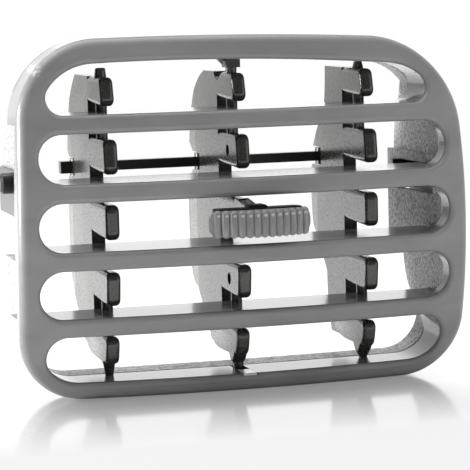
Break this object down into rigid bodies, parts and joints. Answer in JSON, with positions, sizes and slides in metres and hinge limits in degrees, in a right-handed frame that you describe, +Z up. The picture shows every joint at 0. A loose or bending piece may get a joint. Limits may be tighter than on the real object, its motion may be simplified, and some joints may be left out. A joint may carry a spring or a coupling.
{
  "type": "dashboard air vent cartridge",
  "caption": "Swivelling dashboard air vent cartridge: rounded domed grille with level crossbars, upright vanes on a link rod, and a ribbed thumb tab that steers them.",
  "frame": {"origin": "middle of the axis through the two side stubs, which the cartridge tilts on in its housing", "axes": "+X to the right as seen from the seats, +Y back into the dashboard, +Z up"},
  "size_m": [0.1126, 0.066, 0.0848],
  "materials": {
    "grey_satin": "satin moulded plastic with a fine texture",
    "grey_grained": "spark-eroded grain",
    "olive_grey": "satin moulded plastic",
    "black": "smooth moulded acetal",
    "warm_grey": "satin moulded plastic"
  },
  "bodies": {
    "cartridge": {"bezel_grille": "grey_satin", "rear_shell": "grey_grained", "side_clip_left": "black", "side_clip_right": "black", "pivot_bush": "black"},
    "centre_vane": {"vane_centre": "olive_grey", "thumb_tab_core": "olive_grey", "thumb_tab_grip": "warm_grey"},
    "left_vane": {"vane_left": "olive_grey"},
    "right_vane": {"vane_right": "olive_grey"},
    "link": {"link_rod": "black"}
  },
  "joints": [
    {"name": "centre_vane_swing", "type": "hinge", "parent": "cartridge", "child": "centre_vane", "pos_m": [0, -0.0035, 0], "axis": [0, 0, 1], "range_deg": [-22, 22]},
    {"name": "left_vane_swing", "type": "hinge", "parent": "cartridge", "child": "left_vane", "pos_m": [-0.032, -0.0035, 0], "axis": [0, 0, 1], "range_deg": [-22, 22]},
    {"name": "right_vane_swing", "type": "hinge", "parent": "cartridge", "child": "right_vane", "pos_m": [0.032, -0.0035, 0], "axis": [0, 0, 1], "range_deg": [-22, 22]},
    {"name": "link_pivot", "type": "hinge", "parent": "centre_vane", "child": "link", "pos_m": [0, 0.0245, 0], "axis": [0, 0, 1], "range_deg": [-22, 22]}
  ],
  "couplings": [
    {"joint": "left_vane_swing", "follows": "centre_vane_swing", "ratio": 1},
    {"joint": "right_vane_swing", "follows": "centre_vane_swing", "ratio": 1},
    {"joint": "link_pivot", "follows": "centre_vane_swing", "ratio": -1}
  ]
}
